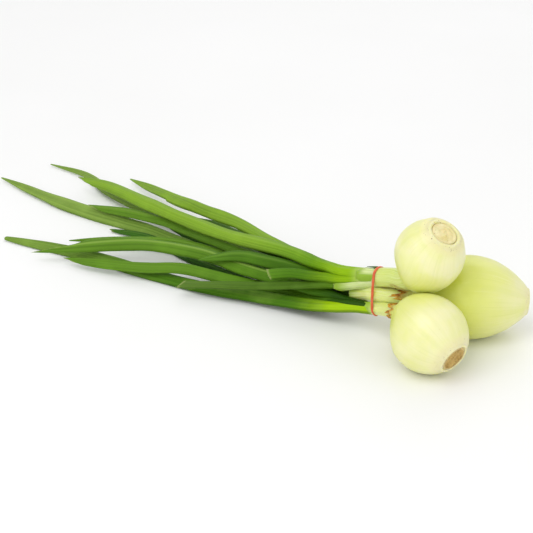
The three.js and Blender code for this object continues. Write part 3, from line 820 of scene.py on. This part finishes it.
def make_root(name, seed):
    """A cut root plate, dished and ringed, with the stubs of its roots."""
    onion = ONIONS[name]
    root = unit(onion["root"])
    across = unit(np.cross(root, X))
    third = np.cross(root, across)
    radius = onion["plate"]
    share = np.linspace(0, 1, PLATE_RINGS)[1:]
    angle = angles(PLATE_SIDES)
    r = radius * share[:, None] * np.ones(PLATE_SIDES)
    x, y = r * np.cos(angle), r * np.sin(angle)
    height = PLATE_THICKNESS * (0.9 - 0.25 * (1 - share[:, None]) + 0.16 * np.sin(share[:, None] * 15))
    height = height * np.sqrt(np.clip((1.02 - share[:, None]) * 9, 0, 1))
    for far, turn, size in np.random.default_rng(seed).random((STUB_COUNT, 3)):
        middle = radius * 0.9 * math.sqrt(far) * np.array([math.cos(7 * turn), math.sin(7 * turn)])
        wide = STUB_WIDTH[0] + STUB_WIDTH[1] * size
        away = np.hypot(x - middle[0], y - middle[1])
        height = height + STUB_HEIGHT * size * np.exp(-((away / wide) ** 2))
    height = height + GRIT_HEIGHT * np.sin(x * 3.1 + seed) * np.sin(y * 2.7)
    base = np.array(onion["centre"]) + root * (plate_distance(onion) + RIM_HEIGHT - PLATE_THICKNESS)
    flat = base + x[..., None] * across + y[..., None] * third
    top = flat + np.maximum(height, 0)[..., None] * root
    back = base + 0.97 * (flat[-1:] - base)
    skin = join_rings(np.vstack([top, back])[:, ::-1])
    ring = np.r_[np.repeat(share, PLATE_SIDES), np.ones(PLATE_SIDES), 0, 1]
    attributes = {"ring": ring, "fresh": np.full(len(ring), FRESH[name])}
    make_piece(f"{name}_root", skin, attributes, root_look, "root_plate", f"{name}_root_plate")


# Dry skins

PAPER_SIDES = 96
# The shares of a dry skin's length where its rings lie, and how far its faces stand off the onion.
PAPER_LINES = np.arange(20) / 19
PAPER_DEPTHS = (0.12, 0.42)
PAPER_CURL = 0.9
PAPER_CRUMPLE = 0.16
PAPER_EDGE = (0.35, 0.85)
# Where each dry skin starts on its onion and how long it is.
PAPER = {"front": dict(start=28, length=17, seed=5), "back": dict(start=35, length=19, seed=9)}


def make_papery(name):
    """The torn collar of dry skin where a neck comes out of its bulb."""
    onion = ONIONS[name]
    facts = PAPER[name]
    points, s = spine(onion, 0.5)
    _, wide, thin = directions(points, Z, 30)
    angle = angles(PAPER_SIDES)
    draw = facts["seed"]
    tatter = 0.5 + 0.7 * wave(angle, draw, 1.6) + 0.3 * wave(angle, draw + 1, 0.55)
    reach = facts["length"] * (0.45 + 0.45 * tatter)
    sections = np.hstack([points, wide, thin, bulb_radius(onion, s, neck_radius(onion, points))[:, None]])
    faces_out = []
    for depth in PAPER_DEPTHS:
        for share in PAPER_LINES:
            at = np.clip(facts["start"] + share * reach, s[0], s[-1])
            here = np.stack([np.interp(at, s, values) for values in sections.T], axis=1)
            curl = PAPER_CURL * share**3 * (0.5 + 0.5 * wave(angle, draw + 2, 0.6))
            crumple = PAPER_CRUMPLE * wave(angle * 5 + share * 3, draw + 3, 1.7) * share
            radius = here[:, 9] + depth * (1 - 0.5 * share) + curl + crumple + 0.1
            out = here[:, 3:6] * np.cos(angle)[:, None] + here[:, 6:9] * np.sin(angle)[:, None]
            faces_out.append(here[:, :3] + out * radius[:, None])
    inner, outer = faces_out[: len(PAPER_LINES)], faces_out[len(PAPER_LINES) :]
    edge = np.r_[PAPER_LINES, PAPER_LINES[::-1]]
    skin = skin_places(angle, 10 * edge, poles=False)
    attributes = {"skin": skin, "edge": np.repeat(rise(edge, *PAPER_EDGE), PAPER_SIDES)}
    rings = join_loop(np.array(outer + inner[::-1]))
    make_piece(f"{name}_dry_skin", rings, attributes, papery_look, "papery_skin", f"{name}_papery_skin")


# Leaf blades

LEAF_SIDES = 48
BLADE_STEP = 2
# The x where the visible feet of each onion's leaves start, and how near its axis they do.
FEET_START = {"top": 1, "front": 4, "back": -14}
FEET_NEAR = 0.55
# The stretch outside each neck where a leaf loses its bright young colour, and where its path is drawn
# straighter.
YOUNG = {"top": (-20, 28), "front": (-6, 42), "back": (-6, 40)}
YOUNG_SHARE = 0.36
EASE_SPAN = 26
EASE_START = (-16, 6)
# The stretch outside each neck where its leaves lose the last of its pale colour.
PALE_FADE = {"top": (-30, -14), "front": (-34, -24), "back": (-12, -3)}
PALE_SHARE = 0.9
FRONT_LONG_FADE = (-27, -22)
FRONT_LONG_PALE = 0.5
# The stretches outside a neck where a blade takes its section and where its waver grows.
SECTION_GROWTH = (6, 50)
WAVER_GROWTH = (10, 60)
# The shares of a blade where it may grow broader and where it grows thinner.
BROADER = (0.5, 0.8)
THINNER = (0.7, 1)
THIN_TIP = 0.55
# Waver: its size and its height.
WIDTH_WAVER = (45, 0.05)
DEPTH_WAVER = (60, 0.12)
TURN_WAVER = (140, 0.22)
# The ridge along the upper face, with a painted highlight line on its crest.
RIDGE_PLACE = 0.3
RIDGE_POWER = 1.3
HIGHLIGHT_START = 0.72
HIGHLIGHT_SHARE = 0.45
FULL_KEEL = 0.22
# The depth, place and width of the hollow along the lower face.
HOLLOW = (0.1, 0.1, 0.35)
STRIP_RISE = 25
STRIP_END = 2
# Painted shade on the underside of a blade and along the edges of its upper face, which fades along it.
SHADE_EDGE_START = 0.8
SHADE_FADE = (50, 130)
SHADE_LOSS = 0.7
# The rings that close a whole tip: how many widths past the end each lies, and its share of the size.
TIPS = {"point": ((1.2, 0.6), (2, 0.15)), "blunt": ((0.5, 0.86), (0.85, 0.55), (1, 0.2))}
# The ragged line of a tear, and the hollow and wall of a cut leaf.
RAG = 1.2
RAG_SIZES = (0.9, 0.35)
CUT_DEPTH = 12
WALL = 0.55
GRAIN_SHIFT = 500


def beside_neck(onion, step, ends, offset, near):
    """A path inside a neck between two x, which moves out to its own place on the neck's end."""
    points, _ = spine(onion, step)
    inside = points[(points[:, 0] < ends[0]) & (points[:, 0] > ends[1])]
    front, up = neck_end(onion)[2:]
    close = neck_radius(onion, inside) / onion["neck"][-1][3]
    share = np.linspace(near, 1, len(inside)) * close
    return inside + share[:, None] * (front * offset[0] + up * offset[1])


def leaf_sections(leaf, out, distance, blade_length, seed):
    """How far the rings of a blade reach across and through it, and the crest of its ridge."""
    width = leaf_width(leaf, np.maximum(out, 0), blade_length, leaf["base"])
    broader = rise(out, *(blade_length * share for share in BROADER))
    width = width * (1 + leaf.get("broad", 0) * broader)
    width = width * (1 + wave(distance, seed, *WIDTH_WAVER) * rise(out, *WAVER_GROWTH))
    depth = width * flatness(np.maximum(out, 0)) * (1 + wave(distance, seed + 50, *DEPTH_WAVER))
    if leaf.get("end") != "cut":
        depth = depth * (1 - THIN_TIP * rise(out, *(blade_length * share for share in THINNER)))
    cos, sin = np.cos(angles(LEAF_SIDES)), np.sin(angles(LEAF_SIDES))
    grown = rise(out, *SECTION_GROWTH)
    crest = np.maximum(1 - np.abs(cos + RIDGE_PLACE), 0) * (sin > 0)
    size, place_across, spread = HOLLOW
    hollow = size * np.exp(-(((cos + place_across) / spread) ** 2)) * (sin < 0)
    x = width[:, None] * cos
    if "strip" in leaf:
        # A strip torn off the lower edge ends in a point.
        start, end, more = leaf["strip"]
        strip = rise(out, start, start + STRIP_RISE)
        strip = more * strip * (1 - rise(out, end - STRIP_END, end + STRIP_END))
        x = x * (1 + strip[:, None] * (cos > 0.5))
    bumps = leaf["keel"] * crest**RIDGE_POWER + hollow
    y = depth[:, None] * sin + width[:, None] * grown[:, None] * bumps
    turn = (wave(distance, seed + 20, *TURN_WAVER) * grown)[:, None]
    return width, x * np.cos(turn) - y * np.sin(turn), x * np.sin(turn) + y * np.cos(turn), crest


def tear_off(rings, path, along, thin, distance, length, leaf, seed):
    """Ends a torn or cut leaf at a ragged line that slants across it."""
    cos = np.cos(angles(LEAF_SIDES))
    tear = leaf["torn"]
    notch = tear * (0.5 + 0.5 * leaf["slant"] * cos) + RAG * wave(cos * 3, seed + 30, RAG_SIZES[0])
    notch = notch + RAG / 2 * wave(cos * 3, seed + 31, RAG_SIZES[1])
    close = rise(distance, length - tear * 1.7 - 3, length)
    rings = rings - (close[:, None] * notch)[..., None] * along[:, None]
    if leaf["end"] == "blunt":
        flatter = 0.7 * rise(distance, length - tear * 2, length)
        height = dot(rings - path[:, None], thin[:, None])
        return rings - (flatter[:, None] * height)[..., None] * thin[:, None]
    inner = []
    for ring in rings[: -1 - round(CUT_DEPTH / BLADE_STEP) : -1]:
        centre = ring.mean(0)
        room = np.maximum(np.linalg.norm(ring - centre, axis=1), WALL * 1.2)
        inner.append(centre + (ring - centre) * (1 - WALL / room)[:, None])
    return np.vstack([rings, np.array(inner)])


def make_leaf(name, chain, seed):
    leaf = LEAVES[name]
    onion_name = grower(name)
    ends = (FEET_START[onion_name], -math.inf)
    feet = beside_neck(ONIONS[onion_name], BLADE_STEP, ends, leaf["foot"], FEET_NEAR)[:-2]
    path = np.vstack([feet, curve(chain, round(LEAF_STEP / BLADE_STEP))])
    inside = run_of(path)[len(feet)]
    length = run_of(path)[-1]
    path = resample(path, np.linspace(0, length, round(length / BLADE_STEP) + 1))
    distance = run_of(path)
    out = distance - inside
    blade_length = length - inside
    path = ease(path, distance, out)
    width, x, y, crest = leaf_sections(leaf, out, distance, blade_length, seed)
    along, wide, thin = directions(path, LEAF_FACING, 2)
    rings = rings_round(path, wide, thin, x, y)
    torn = np.zeros(rings.shape[:2])
    if leaf.get("torn"):
        torn += rise(distance, length - 1.5, length)[:, None] * 0.6
        rings = tear_off(rings, path, along, thin, distance, length, leaf, seed)
    else:
        for reach, share in TIPS[leaf.get("end", "point")]:
            tip = path[-1] + along[-1] * width[-1] * reach + (rings[len(path) - 1] - path[-1]) * share
            rings = np.vstack([rings, tip[None]])
    rings[..., 2] = np.maximum(rings[..., 2], 0.02)
    more = len(rings) - len(path)
    distance = np.r_[distance, np.full(more, length)]
    out = distance - inside
    torn = np.vstack([torn, np.full((more, LEAF_SIDES), 0.5 if leaf.get("end") == "cut" else 0.0)])
    angle = angles(LEAF_SIDES)
    # A painted highlight line on the crest of the ridge, stronger as the keel is higher.
    line = HIGHLIGHT_SHARE * rise(crest, HIGHLIGHT_START, 1) * (max(leaf["keel"], 0) / FULL_KEEL) ** 2
    # Painted shade: all of the underside, and the edges of the upper face.
    edge_and_underside_shade = np.where(np.sin(angle) > 0, rise(np.abs(np.cos(angle)), SHADE_EDGE_START, 1), 1)
    paleness = pale_share(name, out)
    grown = grown_share(out, blade_length, YOUNG[onion_name])
    attributes = {
        "skin": skin_places(angle, distance + seed * GRAIN_SHIFT),
        "grown": [*np.repeat(grown, LEAF_SIDES), 0, 1],
        "pale": [*np.repeat(paleness, LEAF_SIDES), paleness[0], paleness[-1]],
        "crest": [*np.outer(rise(out, *WAVER_GROWTH), line).ravel(), 0, 0],
        "torn": [*torn.ravel(), 0, torn[-1, 0]],
        "edge_and_underside_shade": [*np.outer(1 - SHADE_LOSS * rise(out, *SHADE_FADE), edge_and_underside_shade).ravel(), 0, 0],
    }
    look = material(f"leaf_{name}", leaf_builder(leaf["tone"]))
    make_piece(f"{name}_leaf", join_rings(rings), attributes, look, "leaf", f"leaf_{name}")


def grown_share(out, blade_length, young):
    """From 0 at a leaf's foot to 1 at its tip, with a bright stretch of the given ends at its foot."""
    rest = np.clip((out - young[1]) / (blade_length - young[1]), 0, 1)
    return YOUNG_SHARE * rise(out, *young) + (1 - YOUNG_SHARE) * rest


def ease(path, distance, out):
    """Draws a leaf's path straighter where it comes out of its neck."""
    weight = np.exp(-(((distance[:, None] - distance[None]) / EASE_SPAN) ** 2))
    calm = weight @ path / weight.sum(1, keepdims=True)
    length = out[-1]
    over = rise(out, min(60, 0.3 * length), min(120, 0.75 * length))
    return path + (rise(out, *EASE_START) * (1 - over))[:, None] * (calm - path)


def pale_share(name, out):
    """How much of the neck's pale colour a leaf still has at a distance outside its neck."""
    if name == "front_long":
        return FRONT_LONG_PALE * (1 - rise(out, *FRONT_LONG_FADE))
    return PALE_SHARE * (1 - rise(out, *PALE_FADE[grower(name)]))


# Sheaths and a scrap of leaf on the top neck, beyond the band

SHEATHS = {
    "lower_sheath": dict(offset=(3.8, -4.2), radius=4.6, ends=(2, -33), greened=0, seed=41),
    "upper_sheath": dict(offset=(2.4, 2.6), radius=5.6, ends=(2, -14), greened=0.9, seed=42),
}
SHEATH_SIDES = 64
SHEATH_RIBS = ((0.012, 11, 1), (0.02, 2, 1))
SHEATH_SLOPE = 3
SHEATH_HOLLOW = 7


def build_sheath(shader):
    lines = veins(shader, 16, 0.03)
    clouds = spots(shader, 0.12)
    colour = mix(remap(lines, 0.35, 0.65), "c3d67a", "dfe8b4")
    colour = tint(colour, clouds, 0.4, 0.7, 0.5, "a9c552")
    colour = mix(attribute(shader, "green"), colour, "88ae0a")
    colour = mix(attribute(shader, "edge"), colour, "dbe8a2")
    connect(
        shader, colour, clouds, (0.35, 0.5), bump(lines, 0.25), subsurface_weight=0.25,
        subsurface_scale=0.002, subsurface_radius=(0.8, 1.0, 0.3), specular_ior_level=0.25,
    )


def make_sheath(name, look):
    facts = SHEATHS[name]
    path = beside_neck(ONIONS["top"], 1.0, facts["ends"], facts["offset"], 0.62)
    distance = run_of(path)
    end = distance[-1]
    along, wide, thin = directions(path, LEAF_FACING, 3)
    angle = angles(SHEATH_SIDES)
    radius = facts["radius"] * np.linspace(0.86, 1, len(path))
    radius = radius * (1 - 0.2 * rise(distance, end - 4, end) ** 2)
    spread = radius[:, None] * (1 + ripples(angle, facts["seed"], SHEATH_RIBS))
    rings = rings_round(path, wide, thin, spread * np.cos(angle), spread * np.sin(angle))
    slope = SHEATH_SLOPE * (np.cos(angle - 0.9) - 1) + 0.7 * wave(angle, facts["seed"], 1.6)
    close = rise(distance, end - 12, end)
    rings = rings + (close[:, None] * slope)[..., None] * along[:, None]
    inner = [ring.mean(0) + (ring - ring.mean(0)) * 0.9 for ring in rings[: -1 - SHEATH_HOLLOW : -1]]
    skin = skin_places(angle, np.r_[distance, np.full(SHEATH_HOLLOW, end)])
    sides = facts["greened"] * rise(np.abs(skin[:, 0] + 0.15), 0.3, 0.65)
    attributes = {
        "skin": skin,
        "green": np.maximum(0.9 * rise(skin[:, 2], end * 0.5, end - 1), sides),
        "edge": 0.35 * (1 - facts["greened"]) * rise(skin[:, 2], end - 1.2, end),
    }
    make_piece(name, join_rings(np.vstack([rings, np.array(inner)])), attributes, look, "leaf")


FLAP_STEPS = 24
FLAP_ACROSS = 9
FLAP_ENDS = (-1, -10.5)
FLAP_LIFT = 0.7
FLAP_THICKNESS = 0.45
FLAP_CROWN = 0.5


def make_flap():
    """The short dark scrap of a torn leaf that stands out from under the band on the top neck."""
    onion = ONIONS["top"]
    points, _ = spine(onion, 0.25)
    inside = points[(points[:, 0] < FLAP_ENDS[0]) & (points[:, 0] > FLAP_ENDS[1])]
    path = resample(inside, np.linspace(0, run_of(inside)[-1], FLAP_STEPS))
    _, wide, thin = directions(path, LEAF_FACING, 2)
    share = np.linspace(0, 1, FLAP_STEPS)[:, None]
    low = math.pi * (0.66 + 0.25 * share**0.8)
    high = math.pi * (1 - 0.07 * share)
    across = np.linspace(0, 1, FLAP_ACROSS)
    angle = low + (high - low) * across
    lift = FLAP_LIFT + 0.1 * share + FLAP_CROWN * np.sin(math.pi * across) * (1 - share)
    layers = []
    for depth in (0, FLAP_THICKNESS):
        reach = neck_radius(onion, path)[:, None] + lift - depth * (1 - 0.7 * share)
        layers.append(rings_round(path, wide, thin, reach * np.cos(angle), reach * np.sin(angle)))
    skin = join_rings(np.concatenate([layers[0], layers[1][:, ::-1]], axis=1))
    attributes = {"grown": np.full(len(skin[0]), YOUNG_SHARE), "skin": skin[0] * 0.2}
    make_piece("torn_flap", skin, attributes, material("leaf_flap", leaf_builder("mid")), "leaf")


# Rubber band

BAND_SECTIONS = 160
BAND_SIDES = 14


def band_x(z):
    return BAND_LEAN * (BAND_TOP - z)


def through_band(onion):
    knots = np.array(onion["neck"], float)
    over = knots[:, 0] - band_x(knots[:, 2])
    after = int(np.argmax(over < 0))
    share = over[after - 1] / (over[after - 1] - over[after])
    return knots[after - 1] + (knots[after] - knots[after - 1]) * share


def make_band():
    necks = [through_band(onion) for onion in ONIONS.values()]
    angle = angles(BAND_SECTIONS)
    cos, sin = np.cos(angle), np.sin(angle)
    middle_y, middle_z = BAND_MIDDLE
    reach = [(y - middle_y) * cos + (z - middle_z) * sin + r * NECK_SLANT for _, y, z, r in necks]
    held = np.array(necks)[np.argmax(reach, axis=0)]
    slope = (held[:, 2] - middle_z) * cos - (held[:, 1] - middle_y) * sin
    out = np.max(reach, axis=0)
    smooth = np.ones(5) / 5
    out, slope = (np.convolve(np.r_[v[-2:], v, v[:2]], smooth, "valid") for v in (out, slope))
    corner = angles(BAND_SIDES)
    rings = []
    for k in range(BAND_SECTIONS):
        half_width = BAND_WIDTH / 2 * (0.92 + 0.05 * math.sin(3 * angle[k]))
        across = half_width * np.sign(np.cos(corner)) * np.abs(np.cos(corner)) ** 0.6
        lift = BAND_THICKNESS / 2 * np.sign(np.sin(corner)) * np.abs(np.sin(corner)) ** 0.7
        r = out[k] + BAND_THICKNESS / 2 + lift
        y = middle_y + r * cos[k] - slope[k] * sin[k]
        z = middle_z + r * sin[k] + slope[k] * cos[k]
        rings.append(np.stack([band_x(z) + across + 0.25 * math.sin(2 * angle[k]), y, z], axis=1))
    make_piece("rubber_band_loop", join_loop(np.array(rings)), {}, band_look, "rubber_band", "rubber_band")


# The bunch

for number, onion_name in enumerate(ONIONS):
    make_onion(onion_name, number + 1)
    make_root(onion_name, number + 11)
for onion_name in PAPER:
    make_papery(onion_name)
all_chains = [start_leaf(name) for name in LEAVES] + [start_neck(onion) for onion in ONIONS.values()]
settled = settle(all_chains, len(ONIONS))
for number, leaf_name in enumerate(LEAVES):
    make_leaf(leaf_name, settled[number], number + 21)
sheath_look = material("leaf_sheath", build_sheath)
for sheath_name in SHEATHS:
    make_sheath(sheath_name, sheath_look)
make_flap()
make_band()

# Floor, light and camera

FLOOR_SIZE = 8
AZIMUTH = 37
ELEVATION = 26
DISTANCE = 1.5
IMAGE_SIZE = 533
FOCAL_PIXELS = 2249
SENSOR = 36
BAND_PLACE = Vector(place([0, 0, 30]))
BAND_ACROSS = 375
BAND_DOWN = 290
# Each light: its azimuth and elevation in degrees, its distance and size in metres, and its power.
LIGHTS = {"key": (5, 58, 1.6, 1.2, 8.4), "fill": (50, 14, 1.8, 1.4, 3.6), "rim": (-160, 40, 1.7, 1.0, 3)}
WORLD_STRENGTH = 0.77


def seen_from(azimuth, elevation):
    """The direction from the bunch towards a light or the camera, for angles in degrees."""
    a, e = math.radians(azimuth), math.radians(elevation)
    return Vector((math.sin(a) * math.cos(e), -math.cos(a) * math.cos(e), math.sin(e)))


def add_light(name, azimuth, elevation, distance, size, power):
    data = bpy.data.lights.new(name, "AREA")
    data.size = size
    data.energy = power
    back = seen_from(azimuth, elevation)
    lamp = show(name, data)
    lamp.location = back * distance
    lamp.rotation_mode = "QUATERNION"
    lamp.rotation_quaternion = back.to_track_quat("Z", "Y")


floor_mesh = bpy.data.meshes.new("floor")
corners = [(x * FLOOR_SIZE / 2, y * FLOOR_SIZE / 2, 0) for x, y in ((-1, -1), (1, -1), (1, 1), (-1, 1))]
floor_mesh.from_pydata(corners, [], [(0, 1, 2, 3)])
floor_mesh.materials.append(material("floor", build_floor))
show("floor", floor_mesh)

for light_name, facts in LIGHTS.items():
    add_light(light_name, *facts)

world = bpy.data.worlds.new("studio")
world.use_nodes = True
sky = world.node_tree.nodes["Background"].inputs
sky["Color"].default_value = (1, 1, 1, 1)
sky["Strength"].default_value = WORLD_STRENGTH
bpy.context.scene.world = world
bpy.context.scene.view_settings.view_transform = "Standard"

right = Vector((math.cos(math.radians(AZIMUTH)), math.sin(math.radians(AZIMUTH)), 0))
back = seen_from(AZIMUTH, ELEVATION)
up = back.cross(right)
aside = (BAND_ACROSS - IMAGE_SIZE / 2) / FOCAL_PIXELS * DISTANCE
above = (BAND_DOWN - IMAGE_SIZE / 2) / FOCAL_PIXELS * DISTANCE
camera_data = bpy.data.cameras.new("camera")
camera_data.sensor_width = SENSOR
camera_data.lens = FOCAL_PIXELS / IMAGE_SIZE * SENSOR
camera = show("camera", camera_data)
camera.matrix_world = Matrix.Translation(BAND_PLACE + back * DISTANCE - right * aside + up * above) @ (
    Matrix((right, up, back)).transposed().to_4x4()
)
bpy.context.scene.camera = camera
